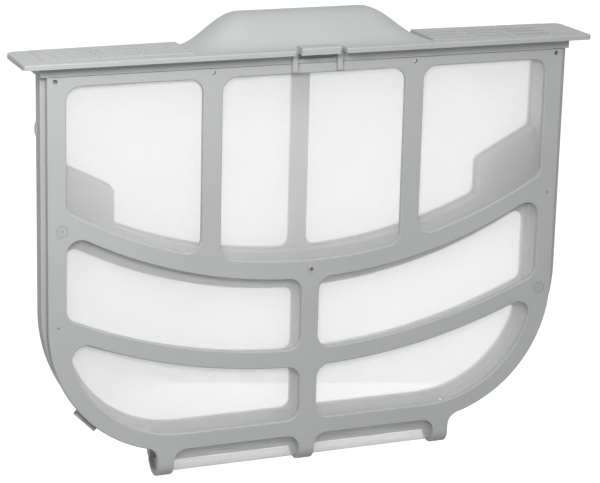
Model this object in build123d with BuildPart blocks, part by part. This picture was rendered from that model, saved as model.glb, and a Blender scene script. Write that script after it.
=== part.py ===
from build123d import *
import os
from math import cos, pi, sqrt

# Lint filter of a tumble dryer: a mesh pocket that hangs in the machine by the flange at its top.
# The origin is the middle of the flange's seat. X runs along the flange, -Y is the front, +Z is up.

# Flange
flange_front_length = 382.0
flange_back_length = 380.0
flange_depth = 45.0
flange_thickness = 3.2
flange_back_radius = 6.0
flange_front_radius = 3.0
flange_edge_round = 0.9
lip_overhang = 7.75
collar_side = 3.9
collar_height = 6.3
collar_front_wall = 2.4

# Air inlet pads on the flange's wings, wedges that rise towards the grip
pad_inner_height = 0.9
pad_outer_height = 0.2
pad_inner_x = 81.0
pad_end_inset = 14.0
pad_front_inset = 9.2
slot_rows = 3
slot_pitch = 8.8
slot_width = 4.6
slot_length = 26.4
slot_bridge = 2.4
slot_columns = 3
slot_inner_margin = 0.8
slot_front_margin = 1.2

# Grip, a hollow arch that swells out of a saddle between the pads
saddle_depth = 1.8
grip_top_half = 41.5
grip_foot_half = 86.5
grip_height = 21.4
grip_front_inset = 3.5
grip_crest_front = 12.0
grip_crest_back = 16.0
grip_back_inset = 2.2
grip_wall = 2.4
grip_sink = 0.6
grip_ramp_share = 2.5
grip_crest_share = 1.3
grip_stations = 9
grip_hollow_share = 0.4

# Latch: a tongue of the flange between two slots, and a rib of the front frame in each slot
tongue_width = 26.0
tongue_height = 4.6
tongue_depth = 10.0
tongue_round = 1.2
tongue_opening = 3.8
latch_slot_width = 4.4
latch_rib_width = 3.4
latch_rib_depth = 2.2
latch_rib_rise = 1.6
latch_rib_root = 4.0
latch_gap = 0.4

# Front frame
front_half = 174.6
front_top_gap = 0.3
front_bottom = -254.4
front_corner = 89.0
panel_thickness = 3.2
panel_edge_round = 0.9
side_bar = 12.1
top_bar = 6.4
bottom_bar = 11.1
window_round = 9.0
upper_rib_width = 12.8
upper_rib_x = 68.4
lower_rib_width = 12.0
arch_upper = (-135.0, 317.5)
arch_upper_bar = (-147.4, 319.9)
arch_lower = (-195.2, 387.5)
arch_lower_bar = (-206.9, 394.5)

# Small moulding features of the front frame
pin_hole_radius = 1.5
pin_hole_drop = 2.7
pin_hole_inset = 5.2
centre_hole_radius = 1.4
centre_boss_radius = 2.6
centre_boss_height = 0.5
mark_radius = 4.0
mark_groove = 1.1
mark_pip_radius = 1.2
mark_depth = 0.5
mark_inset = 9.0
mark_high_z = -103.2
mark_low_z = -169.0
dot_radius = 1.0
dot_depth = 0.8
dot_inset = 6.6
dot_high_z = -103.2
dot_low_z = -164.8

# Legs that curve under the pocket
leg_width = 11.0
leg_outset = 11.5
leg_bottom = -273.3
leg_bend_radius = 9.9
leg_wall = 1.6
leg_flare = 8.6
leg_bar_height = 4.0
web_inset = 2.4
web_thickness = 1.6

# Hinge along the bottom of the rear frame
hinge_barrel_radius = 3.0
hinge_barrel_width = 6.0
hinge_pin_radius = 1.4
hinge_pin_clearance = 0.05
hinge_pin_reach = 2.2
hinge_side_gap = 0.35
hinge_notch_gap = 0.6
hinge_bar_gap = 0.7

# Rear frame
rim_proud = 3.3
rim_gap = 0.4
rim_depth = 6.0
rim_width = 11.9
rim_corner = 98.0
rim_bottom_inset = 1.0
skirt_depth = 9.2
bump_proud = 1.0
bump_half_height = 4.4
bump_depth = 3.0
bump_z = -40.0
key_length = 17.0
key_height = 6.0
key_proud = 2.6
key_depth = 5.0
rear_wall = 2.1
rear_upper_y = 10.45
rear_lower_y = 2.05
rear_side_bar = 10.1
rear_shoulder_z = -62.3
rear_step_width = 39.0
rear_step_z = -82.3
rear_rib_width = 12.4
rear_window_round = 6.0
rear_window_margin = 1.5
rear_arch = (-132.1, 311.7)
rear_lower_arch = (-157.5, 321.5)
rear_lower_side_bar = 15.2
rear_lower_bottom_bar = 14.7
rear_bar_high = (-199.3, 387.5)
rear_bar_low = (-211.0, 394.5)
mouth_gap = 0.9

# Mesh
mesh_thickness = 0.4
mesh_margin = 5.0
mesh_bend_gap = 0.15
mesh_lap = 1.2
mesh_columns = 12
mesh_bar = 18.6
mesh_edge = 5.0

# Places that follow from the sizes above
flange_front_y = -flange_depth / 2
flange_back_y = flange_depth / 2
saddle_z = flange_thickness - saddle_depth
grip_front_y = flange_front_y + grip_front_inset
grip_back_y = flange_back_y - grip_back_inset
front_y = flange_front_y + lip_overhang
panel_back_y = front_y + panel_thickness
front_top = -collar_height - front_top_gap
collar_length = 2 * (front_half + collar_side)
pad_outer_x = flange_back_length / 2 - pad_end_inset
window_half = front_half - side_bar
window_top = front_top - top_bar
window_bottom = front_bottom + bottom_bar
pin_hole_z = front_top - pin_hole_drop
pin_hole_x = front_half - pin_hole_inset
mark_x = front_half - mark_inset
dot_x = front_half - dot_inset
leg_outer_x = front_half - front_corner + leg_outset
leg_rear_y = front_y + 2 * leg_bend_radius
leg_bend_z = leg_bottom + leg_bend_radius
leg_xs = (-leg_outer_x, 0.0, leg_outer_x)
gutter_half = leg_outer_x + leg_width / 2
hinge_y = leg_rear_y - hinge_barrel_radius
hinge_z = leg_bend_z + hinge_barrel_radius + hinge_bar_gap
rim_y = panel_back_y + rim_gap
rear_window_half = front_half - rear_side_bar
rear_step_x = rear_window_half - rear_step_width
rear_lower_half = front_half - rear_lower_side_bar
rear_lower_bottom = front_bottom + rear_lower_bottom_bar
rear_wall_half = front_half + rim_proud - rim_width + rear_wall
window_corner = front_corner - (front_half - window_half)
rear_lower_corner = front_corner - (front_half - rear_lower_half)
mouth_half = gutter_half + mouth_gap
mesh_bend_half = gutter_half - web_inset - web_thickness
mesh_top = front_top - mesh_margin / 2
far = 3 * flange_front_length
touch = 0.01


def front_plane(y):
    """Plane parallel to the front face, with X to the right and Z up."""
    return Plane.XZ.offset(-y)


def arch_z(x, arch):
    """Height of a hanging arch at x, from its lowest point and radius."""
    low, radius = arch
    return low + radius - sqrt(radius**2 - x**2)


def arch_edge(x_start, x_end, arch):
    """Arc of a hanging arch between two places along X."""
    x_middle = (x_start + x_end) / 2
    points = [(x, arch_z(x, arch)) for x in (x_start, x_middle, x_end)]
    ThreePointArc(*points)


def arch_band(half, upper, lower):
    """Face between two hanging arches."""
    with BuildLine() as outline:
        arch_edge(-half, half, upper)
        Line((half, arch_z(half, upper)), (half, arch_z(half, lower)))
        arch_edge(half, -half, lower)
        Line((-half, arch_z(half, lower)), (-half, arch_z(half, upper)))
    make_face(outline.edges())


def pocket_outline(half, top, bottom, corner):
    """Outline of the pocket: square at the top, with large round corners at the bottom."""
    with BuildLine() as outline:
        Polyline((half, bottom + corner), (half, top), (-half, top), (-half, bottom + corner))
        CenterArc((corner - half, bottom + corner), corner, 180, 90)
        Line((corner - half, bottom), (half - corner, bottom))
        CenterArc((half - corner, bottom + corner), corner, 270, 90)
    make_face(outline.edges())


def pocket_inset(inset, top):
    """Outline of the pocket, moved inwards from the front frame's edge."""
    pocket_outline(front_half - inset, top, front_bottom + inset, front_corner - inset)


def rim_outline(inset):
    """Outline of the rear frame's rim: proud of the front frame at the sides, behind it at the bottom."""
    bottom = front_bottom + rim_bottom_inset + inset
    pocket_outline(front_half + rim_proud - inset, -collar_height, bottom, rim_corner - inset)


def rear_upper_outline():
    """Outline of the rear frame's deep upper part, stepped in at both lower corners."""
    arch_end = arch_z(rear_step_x, rear_arch)
    with BuildLine() as outline:
        Polyline(
            (rear_step_x, arch_end),
            (rear_step_x, rear_step_z),
            (rear_window_half, rear_shoulder_z),
            (rear_window_half, window_top),
            (-rear_window_half, window_top),
            (-rear_window_half, rear_shoulder_z),
            (-rear_step_x, rear_step_z),
            (-rear_step_x, arch_end),
        )
        arch_edge(-rear_step_x, rear_step_x, rear_arch)
    make_face(outline.edges())


def leg_profile():
    """Side profile of a leg: from the front panel round under the pocket to the rear."""
    inner_front = panel_back_y
    inner_rear = leg_rear_y - leg_wall
    with BuildLine() as outline:
        ThreePointArc(
            (front_y, leg_bend_z),
            (front_y + leg_bend_radius, leg_bottom),
            (leg_rear_y, leg_bend_z),
        )
        Line((leg_rear_y, leg_bend_z), (inner_rear, leg_bend_z))
        ThreePointArc(
            (inner_rear, leg_bend_z),
            ((inner_front + inner_rear) / 2, leg_bottom + leg_wall),
            (inner_front, leg_bend_z),
        )
        Line((inner_front, leg_bend_z), (front_y, leg_bend_z))
    make_face(outline.edges())


def leg_disc():
    """Side profile of a leg's bend, filled in."""
    with BuildLine() as outline:
        ThreePointArc(
            (front_y, leg_bend_z),
            (front_y + leg_bend_radius, leg_bottom),
            (leg_rear_y, leg_bend_z),
        )
        Line((leg_rear_y, leg_bend_z), (front_y, leg_bend_z))
    make_face(outline.edges())


def gutter_mesh_profile():
    """Side profile of the mesh where it runs round inside the legs."""
    inner_front = panel_back_y
    inner_rear = leg_rear_y - leg_wall - mesh_bend_gap
    middle = (inner_front + inner_rear) / 2
    outer_bottom = leg_bottom + leg_wall + mesh_bend_gap
    with BuildLine() as outline:
        ThreePointArc((inner_front, leg_bend_z), (middle, outer_bottom), (inner_rear, leg_bend_z))
        Line((inner_rear, leg_bend_z), (inner_rear - mesh_thickness, leg_bend_z))
        ThreePointArc(
            (inner_rear - mesh_thickness, leg_bend_z),
            (middle, outer_bottom + mesh_thickness),
            (inner_front + mesh_thickness, leg_bend_z),
        )
        Line((inner_front + mesh_thickness, leg_bend_z), (inner_front, leg_bend_z))
    make_face(outline.edges())


def grip_rise(x):
    """Height of the grip above the saddle at x: level in the middle, falling in a smooth wave."""
    share = (abs(x) - grip_top_half) / (grip_foot_half - grip_top_half)
    return grip_height * (1 + cos(pi * max(share, 0))) / 2


def grip_section(rise, wall, base):
    """Cross-section of the grip: a long ramp at the front, a crest and a steep back.

    With a wall it is the section of the hollow inside.
    """
    front = grip_front_y + grip_ramp_share * wall
    front_z = flange_thickness - wall
    back = grip_back_y - wall
    back_z = min(saddle_z, base + grip_sink)
    crest = saddle_z + rise - grip_crest_share * wall
    ramp_middle = ((front + grip_crest_front) / 2, (front_z + crest) / 2)
    with BuildLine() as outline:
        Spline((front, front_z), ramp_middle, (grip_crest_front, crest), tangents=((1, 0), (1, 0)))
        Line((grip_crest_front, crest), (grip_crest_back, crest))
        Spline((grip_crest_back, crest), (back, back_z), tangents=((1, 0), (0, -1)))
        Polyline((back, back_z), (back, base), (front, base), (front, front_z))
    make_face(outline.edges())


def window_corners(piece, y_start, y_end, half, bottom, tangent_x):
    """Corner edges of the windows cut from y_start to y_end, without the tangent ends of round corners."""
    corners = []
    for edge in piece.edges().filter_by(Axis.Y):
        middle = edge.center()
        same_place = abs(middle.Y - (y_start + y_end) / 2) < touch
        same_depth = same_place and abs(edge.length - y_end + y_start) < touch
        inside = abs(middle.X) < half + touch and middle.Z > bottom - touch
        tangent = abs(middle.Z - bottom) < touch and abs(abs(middle.X) - tangent_x) < touch
        if same_depth and inside and not tangent:
            corners.append(edge)
    return corners


def mesh_openings(half, top, bottom):
    """Plain grid of openings that stands for the weave of a sheet."""
    pitch = 2 * half / mesh_columns
    rows = round((top - bottom) / pitch)
    row_pitch = (top - bottom) / rows
    with Locations((0, (top + bottom) / 2)):
        with GridLocations(pitch, row_pitch, mesh_columns, rows):
            Rectangle(pitch - mesh_bar, row_pitch - mesh_bar)


def large_openings(grid):
    """Openings of a grid, without the small remnants that a sheet's edge leaves."""
    largest = max(face.area for face in grid.faces())
    return [face for face in grid.faces() if face.area > largest / 2]


# Top flange: plate, collar, inlet pads, grip and latch tongue in one moulding
with BuildPart() as top_flange:
    with BuildSketch() as flange_plan:
        with BuildLine():
            Polyline(
                (-flange_front_length / 2, flange_front_y),
                (flange_front_length / 2, flange_front_y),
                (flange_back_length / 2, flange_back_y),
                (-flange_back_length / 2, flange_back_y),
                close=True,
            )
        make_face()
        plan_corners = flange_plan.vertices().sort_by(Axis.Y)
        fillet(plan_corners[2:], radius=flange_back_radius)
        fillet(flange_plan.vertices().sort_by(Axis.Y)[:2], radius=flange_front_radius)
    extrude(amount=flange_thickness)
    fillet(top_flange.faces().sort_by(Axis.Z)[-1].edges(), radius=flange_edge_round)

    # Inlet pads on both wings
    pad_front_y = flange_front_y + pad_front_inset
    pad_back_y = flange_back_y - flange_edge_round
    with BuildSketch(front_plane(pad_front_y)):
        with BuildLine():
            Polyline(
                (pad_inner_x, 0),
                (pad_inner_x, flange_thickness + pad_inner_height),
                (pad_outer_x, flange_thickness + pad_outer_height),
                (pad_outer_x, 0),
                close=True,
            )
        make_face()
        mirror(about=Plane.YZ)
    extrude(amount=-(pad_back_y - pad_front_y))

    # Saddle between the pads
    with BuildSketch(Plane.XY.offset(saddle_z)):
        with Locations((0, (grip_front_y + flange_back_y) / 2)):
            Rectangle(2 * pad_inner_x, flange_back_y - grip_front_y)
    extrude(amount=saddle_depth, mode=Mode.SUBTRACT)

    # Grip: a level middle and two flanks lofted through their cross-sections
    grip_base = saddle_z - grip_sink
    with BuildSketch(Plane.YZ):
        grip_section(grip_height, 0, grip_base)
    extrude(amount=grip_top_half, both=True)
    flank_length = grip_foot_half - grip_top_half
    for side in (-1, 1):
        for station in range(grip_stations):
            x = grip_top_half + flank_length * station / (grip_stations - 1)
            rise = max(grip_rise(x), flange_edge_round / 4)
            with BuildSketch(Plane.YZ.offset(side * x)):
                grip_section(rise, 0, grip_base)
        loft()

    # Collar under the flange
    with BuildSketch():
        with Locations((0, (front_y + rear_upper_y + rear_wall) / 2)):
            Rectangle(collar_length, rear_upper_y + rear_wall - front_y)
        collar_hole_front = front_y + collar_front_wall
        with Locations((0, (collar_hole_front + rear_upper_y) / 2)):
            Rectangle(
                2 * (rear_wall_half - rear_wall),
                rear_upper_y - collar_hole_front,
                mode=Mode.SUBTRACT,
            )
    extrude(amount=-collar_height)

    # Hollow of the grip, open to the pocket below
    with BuildSketch(Plane.YZ):
        grip_section(grip_height, grip_wall, 0)
    extrude(amount=grip_top_half, both=True, mode=Mode.SUBTRACT)
    for side in (-1, 1):
        for share in (0, 0.5, 1):
            x = grip_top_half + share * flank_length * grip_hollow_share
            with BuildSketch(Plane.YZ.offset(side * x)):
                grip_section(grip_rise(x), grip_wall, 0)
        loft(mode=Mode.SUBTRACT)
    with BuildSketch():
        with Locations((0, (rear_upper_y + grip_back_y) / 2)):
            Rectangle(2 * pad_inner_x, grip_back_y - rear_upper_y)
    extrude(amount=saddle_z)

    # Inlet slots in the pads
    slot_step = slot_length + slot_bridge
    slot_first_x = pad_inner_x + slot_inner_margin + slot_length / 2
    slot_first_y = pad_front_y + slot_front_margin + slot_width / 2
    with BuildSketch():
        for row in range(slot_rows):
            for column in range(slot_columns):
                with Locations((slot_first_x + column * slot_step, slot_first_y + row * slot_pitch)):
                    SlotOverall(slot_length, slot_width)
        mirror(about=Plane.YZ)
    extrude(amount=flange_thickness + pad_inner_height, mode=Mode.SUBTRACT)

    # Latch tongue, the slot on each side of it and the opening below it
    with BuildSketch(Plane.YZ) as tongue_side:
        with Locations((flange_front_y + tongue_depth / 2, tongue_height / 2)):
            Rectangle(tongue_depth, tongue_height)
        fillet(tongue_side.vertices().group_by(Axis.Y)[-1], radius=tongue_round)
    extrude(amount=tongue_width / 2, both=True)
    latch_x = (tongue_width + latch_slot_width) / 2
    with BuildSketch():
        for side in (-1, 1):
            with Locations((side * latch_x, (flange_front_y + front_y) / 2)):
                Rectangle(latch_slot_width, lip_overhang)
    extrude(amount=tongue_height, mode=Mode.SUBTRACT)
    with BuildSketch(front_plane(front_y)):
        with Locations((0, -tongue_opening / 2)):
            Rectangle(tongue_width - 2 * latch_gap, tongue_opening)
    extrude(amount=-collar_front_wall, mode=Mode.SUBTRACT)

# Front frame: window panel, latch ribs, legs and hinge barrels in one moulding
with BuildPart() as front_frame:
    with BuildSketch(front_plane(front_y)):
        pocket_outline(front_half, front_top, front_bottom, front_corner)
        leg_top = (front_bottom + window_bottom) / 2
        for x in leg_xs:
            with Locations((x, (leg_top + leg_bend_z) / 2)):
                Rectangle(leg_width, leg_top - leg_bend_z)
    extrude(amount=-panel_thickness)
    leg_roots = [
        edge for edge in front_frame.edges().filter_by(Axis.Y)
        if leg_bend_z + leg_wall < edge.center().Z < leg_top
        and min(abs(abs(edge.center().X - x) - leg_width / 2) for x in leg_xs) < leg_wall / 2
    ]
    fillet(leg_roots, radius=leg_flare)

    # Windows, parted by two arched bars, two upper ribs and one lower rib
    with BuildSketch(front_plane(front_y)):
        pocket_outline(window_half, window_top, window_bottom, window_corner)
        with BuildSketch(mode=Mode.SUBTRACT):
            arch_band(front_half, arch_upper, arch_upper_bar)
            arch_band(front_half, arch_lower, arch_lower_bar)
            for x in (-upper_rib_x, upper_rib_x):
                rib_end = (arch_z(x, arch_upper) + arch_z(x, arch_upper_bar)) / 2
                with Locations((x, (window_top + rib_end) / 2)):
                    Rectangle(upper_rib_width, window_top - rib_end)
            rib_start = (arch_z(0, arch_upper) + arch_z(0, arch_upper_bar)) / 2
            with Locations((0, (rib_start + window_bottom) / 2)):
                Rectangle(lower_rib_width, rib_start - window_bottom)
    extrude(amount=-panel_thickness, mode=Mode.SUBTRACT)
    tangent_x = window_half - window_corner
    corners = window_corners(front_frame, front_y, panel_back_y, window_half, window_bottom, tangent_x)
    fillet(corners, radius=window_round)

    # Legs, rounded along their edges with the panel
    for x in leg_xs:
        with BuildSketch(Plane.YZ.offset(x)):
            leg_profile()
        extrude(amount=leg_width / 2, both=True)
    panel_edges = front_frame.faces().sort_by(Axis.Y)[0].edges()
    rounded = [edge for edge in panel_edges if edge.center().Z > leg_bend_z + touch]
    rounded += [
        edge for edge in front_frame.edges().filter_by(GeomType.CIRCLE)
        if edge.center().Z < leg_bend_z and abs(edge.radius - leg_bend_radius) < touch
    ]
    fillet(rounded, radius=panel_edge_round)

    # Latch ribs on the panel's front, which stand up into the flange's slots
    root_top = front_top - panel_edge_round
    rib_bottom = root_top - latch_rib_root
    for top, back_y in ((latch_rib_rise, front_y - latch_gap), (root_top, panel_back_y)):
        with BuildSketch(front_plane(back_y)):
            for side in (-1, 1):
                with Locations((side * latch_x, (top + rib_bottom) / 2)):
                    Rectangle(latch_rib_width, top - rib_bottom)
        extrude(amount=back_y - front_y + latch_rib_depth)

    # Bar that joins the legs at the rear, and the gutter's end walls in the outer legs
    with BuildSketch(Plane.YZ):
        leg_profile()
        with Locations((leg_rear_y - leg_bend_radius / 2, leg_bend_z - leg_bar_height / 2)):
            Rectangle(leg_bend_radius, leg_bar_height, mode=Mode.INTERSECT)
    extrude(amount=gutter_half, both=True)
    web_top = front_bottom + mesh_margin / 2
    web_back_y = hinge_y - hinge_barrel_radius - hinge_notch_gap - hinge_bar_gap
    for side in (-1, 1):
        with BuildSketch(Plane.YZ.offset(side * (mesh_bend_half + web_thickness / 2))):
            leg_disc()
            with Locations(((panel_back_y + web_back_y) / 2, (leg_bend_z + web_top) / 2)):
                Rectangle(web_back_y - panel_back_y, web_top - leg_bend_z)
        extrude(amount=web_thickness / 2, both=True)

    # Hinge barrels, each on a neck above its leg
    for x in leg_xs:
        with BuildSketch(Plane.YZ.offset(x)):
            with Locations((hinge_y, hinge_z)):
                Circle(hinge_barrel_radius)
            neck_bottom = leg_bend_z - leg_bar_height / 2
            with Locations((leg_rear_y - leg_wall / 2, (hinge_z + neck_bottom) / 2)):
                Rectangle(leg_wall, hinge_z - neck_bottom)
            with Locations((hinge_y, hinge_z)):
                Circle(hinge_pin_radius + hinge_pin_clearance, mode=Mode.SUBTRACT)
        extrude(amount=hinge_barrel_width / 2, both=True)

    # Boss round the centre hole
    centre_hole_z = (arch_z(0, arch_upper) + arch_z(0, arch_upper_bar)) / 2
    with BuildSketch(front_plane(front_y)):
        with Locations((0, centre_hole_z)):
            Circle(centre_boss_radius)
    extrude(amount=centre_boss_height)
    with BuildSketch(front_plane(front_y - centre_boss_height)):
        with Locations((0, centre_hole_z)):
            Circle(centre_hole_radius)
        pin_holes = [(x, pin_hole_z) for x in (upper_rib_x, pin_hole_x)]
        with Locations(*[(side * x, z) for x, z in pin_holes for side in (-1, 1)]):
            Circle(pin_hole_radius)
    extrude(amount=-(panel_thickness + centre_boss_height), mode=Mode.SUBTRACT)

    # Round moulding marks and small pits on the side bars
    with BuildSketch(front_plane(front_y)):
        with Locations((-mark_x, mark_high_z), (mark_x, mark_low_z)):
            Circle(mark_radius)
            Circle(mark_radius - mark_groove, mode=Mode.SUBTRACT)
            Circle(mark_pip_radius)
    extrude(amount=-mark_depth, mode=Mode.SUBTRACT)
    with BuildSketch(front_plane(front_y)):
        with Locations((dot_x, dot_high_z), (-dot_x, dot_low_z)):
            Circle(dot_radius)
    extrude(amount=-dot_depth, mode=Mode.SUBTRACT)

# Rear frame: stepped tray with windows, rim and hinge bead
with BuildPart() as rear_frame:
    # Rim with a skirt round its edge, a catch on each side and a keying pad at one corner
    with BuildSketch(front_plane(rim_y)):
        rim_outline(0)
    extrude(amount=-rim_depth)
    with BuildSketch(front_plane(rim_y)):
        rim_outline(0)
        with BuildSketch(mode=Mode.SUBTRACT):
            rim_outline(rear_wall)
    extrude(amount=-skirt_depth)
    with BuildSketch(front_plane(rim_y + skirt_depth - bump_depth)):
        with Locations((-front_half - rim_proud, bump_z), (front_half + rim_proud, bump_z)):
            Ellipse(bump_proud, bump_half_height)
    extrude(amount=-bump_depth)
    key_reach = (front_corner + key_proud - key_height / 2) / sqrt(2)
    with BuildSketch(front_plane(rim_y)):
        with Locations((front_corner - front_half - key_reach, front_bottom + front_corner - key_reach)):
            Rectangle(key_length, key_height, rotation=-45)
    extrude(amount=-key_depth)

    # Walls behind the rim
    wall_inset = front_half - rear_wall_half
    with BuildSketch(front_plane(rim_y)):
        pocket_inset(wall_inset, -collar_height)
    extrude(amount=-(rear_lower_y + rear_wall - rim_y))
    upper_offset = rear_window_margin + rear_wall
    with BuildSketch(front_plane(rim_y)):
        rear_upper_outline()
        offset(amount=upper_offset, kind=Kind.INTERSECTION)
        with Locations((0, window_top)):
            Rectangle(2 * (rear_window_half + upper_offset), -2 * window_top)
        with Locations((0, -collar_height - far / 2)):
            Rectangle(far, far, mode=Mode.INTERSECT)
    extrude(amount=-(rear_upper_y + rear_wall - rim_y))

    # Hollow of the lower and the upper step
    with BuildSketch(front_plane(rim_y)):
        pocket_inset(wall_inset + rear_wall, 0)
    extrude(amount=-(rear_lower_y - rim_y), mode=Mode.SUBTRACT)
    with BuildSketch(front_plane(rim_y)):
        rear_upper_outline()
        offset(amount=rear_window_margin, kind=Kind.INTERSECTION)
        with Locations((0, window_top)):
            Rectangle(2 * (rear_window_half + rear_window_margin), -2 * window_top)
    extrude(amount=-(rear_upper_y - rim_y), mode=Mode.SUBTRACT)

    # The tray is open at the bottom for the gutter, and its back goes on down to the hinge
    with BuildSketch(front_plane(rim_y)):
        with Locations((0, window_bottom - far / 2)):
            Rectangle(2 * mouth_half, far)
    extrude(amount=-(rear_lower_y - rim_y), mode=Mode.SUBTRACT)
    with BuildSketch(front_plane(rear_lower_y)):
        with Locations((0, (window_bottom + hinge_z) / 2)):
            Rectangle(2 * mouth_half, window_bottom - hinge_z)
    extrude(amount=-rear_wall)
    with BuildSketch(Plane.YZ):
        with Locations((hinge_y, hinge_z)):
            Circle(hinge_barrel_radius)
    extrude(amount=mouth_half, both=True)

    # Windows of the upper step, either side of the rib
    with BuildSketch(front_plane(rear_upper_y)):
        rear_upper_outline()
        with Locations((0, window_top)):
            Rectangle(rear_rib_width, far, mode=Mode.SUBTRACT)
    extrude(amount=-rear_wall, mode=Mode.SUBTRACT)
    upper_end_y = rear_upper_y + rear_wall
    corners = window_corners(rear_frame, rear_upper_y, upper_end_y, rear_window_half, rear_arch[0], far)
    fillet(corners, radius=rear_window_round)

    # Windows of the lower step
    with BuildSketch(front_plane(rear_lower_y)):
        pocket_outline(rear_lower_half, 0, rear_lower_bottom, rear_lower_corner)
        with BuildSketch(mode=Mode.SUBTRACT):
            arch_band(front_half, rear_bar_high, rear_bar_low)
            arch_band(front_half, (0, rear_lower_arch[1]), rear_lower_arch)
            with Locations((0, rear_lower_bottom)):
                Rectangle(rear_rib_width, far)
    extrude(amount=-rear_wall, mode=Mode.SUBTRACT)
    lower_end_y = rear_lower_y + rear_wall
    tangent_x = rear_lower_half - rear_lower_corner
    corners = window_corners(
        rear_frame, rear_lower_y, lower_end_y, rear_lower_half, rear_lower_bottom, tangent_x
    )
    fillet(corners, radius=rear_window_round)

    # Notches for the front frame's barrels, with a stub pin from each side
    notch_width = hinge_barrel_width + 2 * hinge_side_gap
    notch_radius = hinge_barrel_radius + hinge_notch_gap
    for x in leg_xs:
        with BuildSketch(Plane.YZ.offset(x)):
            with Locations((hinge_y, hinge_z)):
                Rectangle(2 * notch_radius, 2 * notch_radius)
        extrude(amount=notch_width / 2, both=True, mode=Mode.SUBTRACT)
        for side in (-1, 1):
            with BuildSketch(Plane.YZ.offset(x + side * notch_width / 2)):
                with Locations((hinge_y, hinge_z)):
                    Circle(hinge_pin_radius)
            extrude(amount=-side * hinge_pin_reach)

# Front mesh: one sheet on the back of the front panel that runs round inside the legs
with BuildPart() as front_mesh:
    with BuildSketch(front_plane(panel_back_y)):
        pocket_inset(mesh_margin, mesh_top)
        with Locations((0, (window_bottom + leg_bend_z) / 2)):
            Rectangle(2 * mesh_bend_half, window_bottom - leg_bend_z)
    extrude(amount=-mesh_thickness)
    with BuildSketch(Plane.YZ):
        gutter_mesh_profile()
    extrude(amount=mesh_bend_half, both=True)
    with BuildSketch(front_plane(panel_back_y), mode=Mode.PRIVATE) as grid:
        mesh_openings(front_half - mesh_margin, mesh_top, front_bottom + mesh_margin)
        with BuildSketch(mode=Mode.INTERSECT):
            pocket_inset(mesh_margin + mesh_edge, mesh_top)
    extrude(large_openings(grid.sketch), amount=mesh_thickness, both=True, mode=Mode.SUBTRACT)

# Rear meshes, one on each step of the rear frame
with BuildPart() as rear_upper_mesh:
    with BuildSketch(front_plane(rear_upper_y)):
        rear_upper_outline()
        offset(amount=mesh_lap, kind=Kind.INTERSECTION)
    extrude(amount=mesh_thickness)

with BuildPart() as rear_lower_mesh:
    with BuildSketch(front_plane(rear_lower_y)):
        lower_edge = rear_lower_half + mesh_lap
        pocket_outline(lower_edge, 0, rear_lower_bottom - mesh_lap, rear_lower_corner + mesh_lap)
        lap_arch = (rear_lower_arch[0] + mesh_lap, rear_lower_arch[1])
        with BuildSketch(mode=Mode.SUBTRACT):
            arch_band(front_half, (0, rear_lower_arch[1]), lap_arch)
    extrude(amount=mesh_thickness)

os.makedirs("parts", exist_ok=True)
pieces = {
    "top_flange": top_flange,
    "front_frame": front_frame,
    "rear_frame": rear_frame,
    "front_mesh": front_mesh,
    "rear_upper_mesh": rear_upper_mesh,
    "rear_lower_mesh": rear_lower_mesh,
}
for label, piece in pieces.items():
    piece.part.label = label
    export_step(piece.part, f"parts/{label}.step")
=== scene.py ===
from math import cos, pi, radians, sin

import bpy
from mathutils import Matrix, Vector
from mathutils.bvhtree import BVHTree


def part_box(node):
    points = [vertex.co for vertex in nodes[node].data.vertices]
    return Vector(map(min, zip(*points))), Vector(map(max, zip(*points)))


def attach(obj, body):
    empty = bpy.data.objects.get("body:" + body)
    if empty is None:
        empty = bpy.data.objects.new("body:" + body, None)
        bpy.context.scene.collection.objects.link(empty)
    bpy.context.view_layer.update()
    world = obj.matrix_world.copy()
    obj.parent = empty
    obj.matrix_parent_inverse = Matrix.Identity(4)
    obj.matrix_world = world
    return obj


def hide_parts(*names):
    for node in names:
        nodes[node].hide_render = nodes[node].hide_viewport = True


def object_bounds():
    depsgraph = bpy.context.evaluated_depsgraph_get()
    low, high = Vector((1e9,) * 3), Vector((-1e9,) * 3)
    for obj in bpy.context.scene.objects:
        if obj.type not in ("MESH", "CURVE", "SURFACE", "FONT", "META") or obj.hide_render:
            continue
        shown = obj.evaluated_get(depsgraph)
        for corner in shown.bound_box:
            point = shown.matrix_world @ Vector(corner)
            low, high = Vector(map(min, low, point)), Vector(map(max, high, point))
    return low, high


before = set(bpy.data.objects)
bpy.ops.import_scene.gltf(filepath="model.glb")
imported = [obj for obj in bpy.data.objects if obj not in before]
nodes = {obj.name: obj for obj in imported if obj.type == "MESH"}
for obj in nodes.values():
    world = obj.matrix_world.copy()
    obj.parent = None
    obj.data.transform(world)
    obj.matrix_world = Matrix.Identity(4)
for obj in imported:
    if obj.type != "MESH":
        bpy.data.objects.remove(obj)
cad_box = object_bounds()

# Camera, at the photograph's angle
camera_place = (-0.54905, -1.31896, 0.27983)
camera_azimuth = radians(-22.52)
camera_elevation = radians(15.89)
camera_roll = radians(-1.43)
camera_lens_mm = 138.17

# Plastic: shades, roughness, and noise scales in cells per metre
plastic_dark = (0.398, 0.407, 0.404)
plastic_light = (0.422, 0.431, 0.428)
plastic_smooth = 0.46
plastic_rough = 0.56
plastic_specular = 0.25
flow_scale = 14
polish_scale = 60
grain_scale = 2600
grain_depth = 0.00005
grain_strength = 0.25

# Polyester thread
thread_dull = (0.845, 0.845, 0.835)
thread_white = (0.885, 0.885, 0.88)
thread_smooth = 0.45
thread_rough = 0.6
thread_glow_through = 0.8
tint_scale = 30
fibre_scale = 400

# Woven mesh; the two pitches differ, so that the layers don't beat against each other
front_pitch = 0.00045
rear_pitch = 0.0003
thread_width_share = 0.34
thread_depth_share = 0.13
gutter_bend_z = -0.2634
gutter_half = 0.0986
bend_steps = 12
mesh_thickness = 0.0004
ray_step = 1e-6

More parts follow.
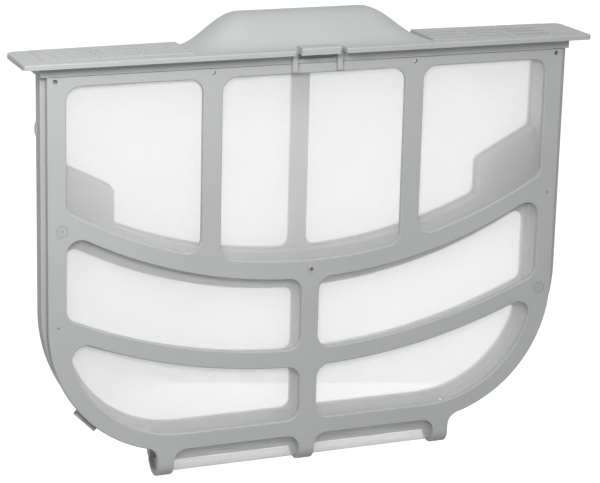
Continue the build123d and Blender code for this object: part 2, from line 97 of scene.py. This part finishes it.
# Stage; the gap leaves room for the open front half, which swings down past the pocket's bottom
floor_dark = (0.25, 0.25, 0.25)
floor_light = (0.27, 0.27, 0.27)
floor_roughness = 0.9
floor_scale = 3
floor_size = 8.0
floor_gap = 0.054
floor_glow = 0.9
floor_back_glow = 0.7
back_glow_start_y = 0.04
back_glow_end_y = 0.25
key_place = (-0.29, -0.37, 0.24)
key_target = (-0.05, 0, -0.14)
key_size = 0.2
key_power = 1.9
fill_place = (-0.1, -1.05, 0.6)
fill_target = (0, 0, -0.14)
fill_size = 0.8
fill_power = 3.7
back_place = (0.13, 0.27, -0.24)
back_target = (0.04, 0, -0.23)
back_size = 0.3
back_power = 0.88
even_light = 0.51
light_from_above = 0.1
light_from_behind = 0.15
light_from_front = 0.45
shade_from_left = 0.85


def new_material(name):
    """A node material with its Principled shader, its node tree and the object coordinates in metres."""
    material = bpy.data.materials.new(name)
    material.use_nodes = True
    tree = material.node_tree
    shader = tree.nodes["Principled BSDF"]
    place = tree.nodes.new("ShaderNodeTexCoord").outputs["Object"]
    return material, tree, shader, place


def noise(tree, place, scale, detail):
    """Noise over the surface; scale is in cells per metre."""
    node = tree.nodes.new("ShaderNodeTexNoise")
    node.inputs["Scale"].default_value = scale
    node.inputs["Detail"].default_value = detail
    tree.links.new(place, node.inputs["Vector"])
    return node.outputs["Fac"]


def spread(tree, value, low, high, start=0.3, end=0.7):
    """Spreads a value between two numbers; start and end suit noise."""
    node = tree.nodes.new("ShaderNodeMapRange")
    node.inputs["From Min"].default_value = start
    node.inputs["From Max"].default_value = end
    node.inputs["To Min"].default_value = low
    node.inputs["To Max"].default_value = high
    tree.links.new(value, node.inputs["Value"])
    return node.outputs["Result"]


def shades(tree, value, dark, light):
    """Colour between two shades."""
    node = tree.nodes.new("ShaderNodeMix")
    node.data_type = "RGBA"
    node.inputs["A"].default_value = (*dark, 1)
    node.inputs["B"].default_value = (*light, 1)
    tree.links.new(value, node.inputs["Factor"])
    return node.outputs["Result"]


def bump(tree, shader, height, distance, strength):
    """Fine relief; distance is in metres."""
    node = tree.nodes.new("ShaderNodeBump")
    node.inputs["Distance"].default_value = distance
    node.inputs["Strength"].default_value = strength
    tree.links.new(height, node.inputs["Height"])
    tree.links.new(node.outputs["Normal"], shader.inputs["Normal"])


def moulded_plastic():
    """Satin grey plastic with a fine spark-eroded grain and faint flow shading."""
    material, tree, shader, place = new_material("moulded_plastic")
    flow = spread(tree, noise(tree, place, flow_scale, 3), 0, 1)
    tree.links.new(shades(tree, flow, plastic_dark, plastic_light), shader.inputs["Base Color"])
    polish = spread(tree, noise(tree, place, polish_scale, 2), plastic_smooth, plastic_rough)
    tree.links.new(polish, shader.inputs["Roughness"])
    shader.inputs["Specular IOR Level"].default_value = plastic_specular
    bump(tree, shader, noise(tree, place, grain_scale, 2), grain_depth, grain_strength)
    return material


def polyester():
    """White polyester thread, a little warmer and duller in places."""
    material, tree, shader, place = new_material("polyester")
    tint = spread(tree, noise(tree, place, tint_scale, 2), 0, 1)
    tree.links.new(shades(tree, tint, thread_dull, thread_white), shader.inputs["Base Color"])
    polish = spread(tree, noise(tree, place, fibre_scale, 2), thread_smooth, thread_rough)
    tree.links.new(polish, shader.inputs["Roughness"])
    shader.inputs["Subsurface Weight"].default_value = thread_glow_through
    shader.inputs["Subsurface Radius"].default_value = (1, 1, 1)
    shader.inputs["Subsurface Scale"].default_value = 2 * thread_width_share * front_pitch
    return material


def edge_spans(tree, start, direction, whole):
    """Pairs of places where a line enters and leaves a sheet; whole leaves out the gaps in between."""
    hits = []
    place = Vector(start)
    step = Vector(direction)
    while True:
        hit = tree.ray_cast(place, step)[0]
        if hit is None:
            break
        hits.append(hit)
        place = hit + step * ray_step
    if whole and hits:
        return [(hits[0], hits[-1])]
    return list(zip(hits[0::2], hits[1::2]))


def add_thread(mesh, path, sides):
    """Adds a thread with a diamond section along a path; sides are its two half axes at each point."""
    verts, faces = mesh
    first = len(verts)
    for point, (wide, deep) in zip(path, sides):
        verts.extend(point + offset for offset in (wide, deep, -wide, -deep))
    last = first + 4 * (len(path) - 1)
    for ring in range(first, last, 4):
        for side in range(4):
            after = (side + 1) % 4
            faces.append((ring + side, ring + after, ring + 4 + after, ring + 4 + side))
    faces.append((first + 3, first + 2, first + 1, first))
    faces.append((last, last + 1, last + 2, last + 3))


def lines_between(low, high, pitch):
    """Places of the threads between two edges, in steps of the pitch."""
    count = int((high - low) / pitch)
    margin = (high - low - count * pitch) / 2
    return [low + margin + index * pitch for index in range(count + 1)]


def make_weave(node, body, pitch, gutter=False):
    """Replaces a mesh sheet by its threads, each cut off at the sheet's own edge."""
    low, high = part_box(node)
    cad = nodes[node].data
    tree = BVHTree.FromPolygons([v.co for v in cad.vertices], [p.vertices for p in cad.polygons])
    middle = low.y + mesh_thickness / 2
    half_width = pitch * thread_width_share / 2
    half_depth = pitch * thread_depth_share / 2
    mesh = ([], [])
    deep = Vector((0, half_depth, 0))
    across = (Vector((0, 0, half_width)), deep)
    upright = (Vector((half_width, 0, 0)), deep)
    bottom = gutter_bend_z if gutter else low.z
    for z in lines_between(bottom, high.z, pitch):
        for span in edge_spans(tree, (low.x - mesh_thickness, middle, z), (1, 0, 0), gutter):
            add_thread(mesh, [end - deep for end in span], [across, across])
    for x in lines_between(low.x, high.x, pitch):
        if gutter and abs(x) < gutter_half:
            add_bent_thread(mesh, x, low, high, half_width, half_depth)
            continue
        for span in edge_spans(tree, (x, middle, high.z + mesh_thickness), (0, 0, -1), gutter):
            add_thread(mesh, [end + deep for end in span], [upright, upright])
    if gutter:
        add_gutter_wefts(mesh, low, high, pitch, half_width, half_depth)
    data = bpy.data.meshes.new(node + "_weave")
    data.from_pydata(mesh[0], [], mesh[1])
    weave = bpy.data.objects.new(node + "_weave", data)
    bpy.context.scene.collection.objects.link(weave)
    data.materials.append(polyester_material)
    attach(weave, body)
    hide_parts(node)


def bend_point(share, low, high):
    """Point and outward direction on the bend under the pocket; share runs from 0 at the front to 1."""
    front = low.y + mesh_thickness / 2
    rear = high.y - mesh_thickness / 2
    reach_y = (rear - front) / 2
    reach_z = gutter_bend_z - low.z - mesh_thickness / 2
    turn = pi * share
    point = Vector((0, (front + rear) / 2 - reach_y * cos(turn), gutter_bend_z - reach_z * sin(turn)))
    outward = Vector((0, -cos(turn) / reach_y, -sin(turn) / reach_z)).normalized()
    return point, outward


def add_bent_thread(mesh, x, low, high, half_width, half_depth):
    """Upright thread that runs down the front and round under the pocket."""
    wide = Vector((half_width, 0, 0))
    path = []
    sides = []
    for step in range(bend_steps + 1):
        point, outward = bend_point(step / bend_steps, low, high)
        path.append(Vector((x, point.y, point.z)) - outward * half_depth)
        sides.append((wide, -outward * half_depth))
    path.insert(0, Vector((x, path[0].y, high.z)))
    sides.insert(0, sides[0])
    add_thread(mesh, path, sides)


def add_gutter_wefts(mesh, low, high, pitch, half_width, half_depth):
    """Cross threads round the bend."""
    girth = pi * (high.y - low.y - mesh_thickness) / 2
    count = int(girth / pitch)
    for index in range(1, count + 1):
        point, outward = bend_point(index / count, low, high)
        along = Vector((0, outward.z, -outward.y)) * half_width
        centre = point + outward * half_depth
        path = [Vector((side * gutter_half, centre.y, centre.z)) for side in (-1, 1)]
        add_thread(mesh, path, [(along, outward * half_depth)] * 2)


def add_camera():
    """Camera that stands where the photograph was taken from."""
    right = Vector((cos(camera_azimuth), sin(camera_azimuth), 0))
    ahead = Vector((
        -sin(camera_azimuth) * cos(camera_elevation),
        cos(camera_azimuth) * cos(camera_elevation),
        -sin(camera_elevation),
    ))
    down = ahead.cross(right)
    rolled_right = cos(camera_roll) * right + sin(camera_roll) * down
    rolled_down = cos(camera_roll) * down - sin(camera_roll) * right
    turn = Matrix((rolled_right, -rolled_down, -ahead)).transposed().to_4x4()
    data = bpy.data.cameras.new("camera")
    data.lens = camera_lens_mm
    camera = bpy.data.objects.new("camera", data)
    camera.matrix_world = Matrix.Translation(camera_place) @ turn
    bpy.context.scene.collection.objects.link(camera)
    bpy.context.scene.camera = camera


def add_area_light(name, place, target, size, power):
    """Round area lamp that faces its target."""
    data = bpy.data.lights.new(name, "AREA")
    data.shape = "DISK"
    data.size = size
    data.energy = power
    lamp = bpy.data.objects.new(name, data)
    aim = Vector(target) - Vector(place)
    lamp.matrix_world = Matrix.Translation(place) @ aim.to_track_quat("-Z", "Y").to_matrix().to_4x4()
    bpy.context.scene.collection.objects.link(lamp)
    return lamp


def combine(tree, operation, first, second):
    """Two values joined by a maths operation, such as ADD."""
    node = tree.nodes.new("ShaderNodeMath")
    node.operation = operation
    tree.links.new(first, node.inputs[0])
    tree.links.new(second, node.inputs[1])
    return node.outputs[0]


def seen_directly(tree):
    """1 for rays that come from the camera, by a mirror or through glass too."""
    path = tree.nodes.new("ShaderNodeLightPath")
    total = path.outputs["Is Camera Ray"]
    for name in ("Is Glossy Ray", "Is Transmission Ray"):
        total = combine(tree, "MAXIMUM", total, path.outputs[name])
    return total


def add_world():
    """White backdrop for the eye, and soft light that is weaker from the left."""
    world = bpy.data.worlds.new("studio")
    bpy.context.scene.world = world
    world.use_nodes = True
    tree = world.node_tree
    output = tree.nodes["World Output"]
    soft = tree.nodes["Background"]
    soft.inputs["Color"].default_value = (1, 1, 1, 1)
    split = tree.nodes.new("ShaderNodeSeparateXYZ")
    tree.links.new(tree.nodes.new("ShaderNodeTexCoord").outputs["Generated"], split.inputs[0])
    above = spread(tree, split.outputs["Z"], even_light, even_light + light_from_above, 0, 1)
    behind = spread(tree, split.outputs["Y"], 0, light_from_behind, 0, 1)
    front = spread(tree, split.outputs["Y"], light_from_front, 0, -1, 0)
    left = spread(tree, split.outputs["X"], 1 - shade_from_left, 1, -1, 0)
    total = combine(tree, "ADD", combine(tree, "ADD", above, behind), front)
    strength = combine(tree, "MULTIPLY", total, left)
    tree.links.new(strength, soft.inputs["Strength"])
    white = tree.nodes.new("ShaderNodeBackground")
    white.inputs["Color"].default_value = (1, 1, 1, 1)
    white.inputs["Strength"].default_value = 1
    mix = tree.nodes.new("ShaderNodeMixShader")
    tree.links.new(seen_directly(tree), mix.inputs[0])
    tree.links.new(soft.outputs[0], mix.inputs[1])
    tree.links.new(white.outputs[0], mix.inputs[2])
    tree.links.new(mix.outputs[0], output.inputs["Surface"])


def add_floor(height):
    """Plain pale floor that keeps the object's shadow and sends some light up from behind it."""
    half = floor_size / 2
    corners = [(x, y, height) for x, y in ((-half, -half), (half, -half), (half, half), (-half, half))]
    data = bpy.data.meshes.new("floor")
    data.from_pydata(corners, [], [(0, 1, 2, 3)])
    floor = bpy.data.objects.new("floor", data)
    bpy.context.scene.collection.objects.link(floor)
    material, tree, shader, place = new_material("pale_floor")
    tint = spread(tree, noise(tree, place, floor_scale, 2), 0, 1)
    tree.links.new(shades(tree, tint, floor_dark, floor_light), shader.inputs["Base Color"])
    shader.inputs["Roughness"].default_value = floor_roughness
    shader.inputs["Emission Color"].default_value = (1, 1, 1, 1)
    split = tree.nodes.new("ShaderNodeSeparateXYZ")
    tree.links.new(place, split.inputs[0])
    behind = spread(tree, split.outputs["Y"], 0, floor_back_glow, back_glow_start_y, back_glow_end_y)
    white = spread(tree, seen_directly(tree), 0, floor_glow, 0, 1)
    tree.links.new(combine(tree, "MAXIMUM", behind, white), shader.inputs["Emission Strength"])
    data.materials.append(material)


plastic_material = moulded_plastic()
polyester_material = polyester()
for name in ("top_flange", "front_frame", "rear_frame"):
    slots = nodes[name].data.materials
    slots.clear()
    slots.append(plastic_material)

make_weave("front_mesh", "front_half", front_pitch, gutter=True)
make_weave("rear_upper_mesh", "rear_half", rear_pitch)
make_weave("rear_lower_mesh", "rear_half", rear_pitch)

add_camera()
add_world()
add_area_light("key", key_place, key_target, key_size, key_power)
add_area_light("fill", fill_place, fill_target, fill_size, fill_power)
back_light = add_area_light("back_light", back_place, back_target, back_size, back_power)
back_light.visible_camera = False
back_light.visible_glossy = False
add_floor(cad_box[0][2] - floor_gap)
bpy.context.scene.view_settings.view_transform = "Standard"
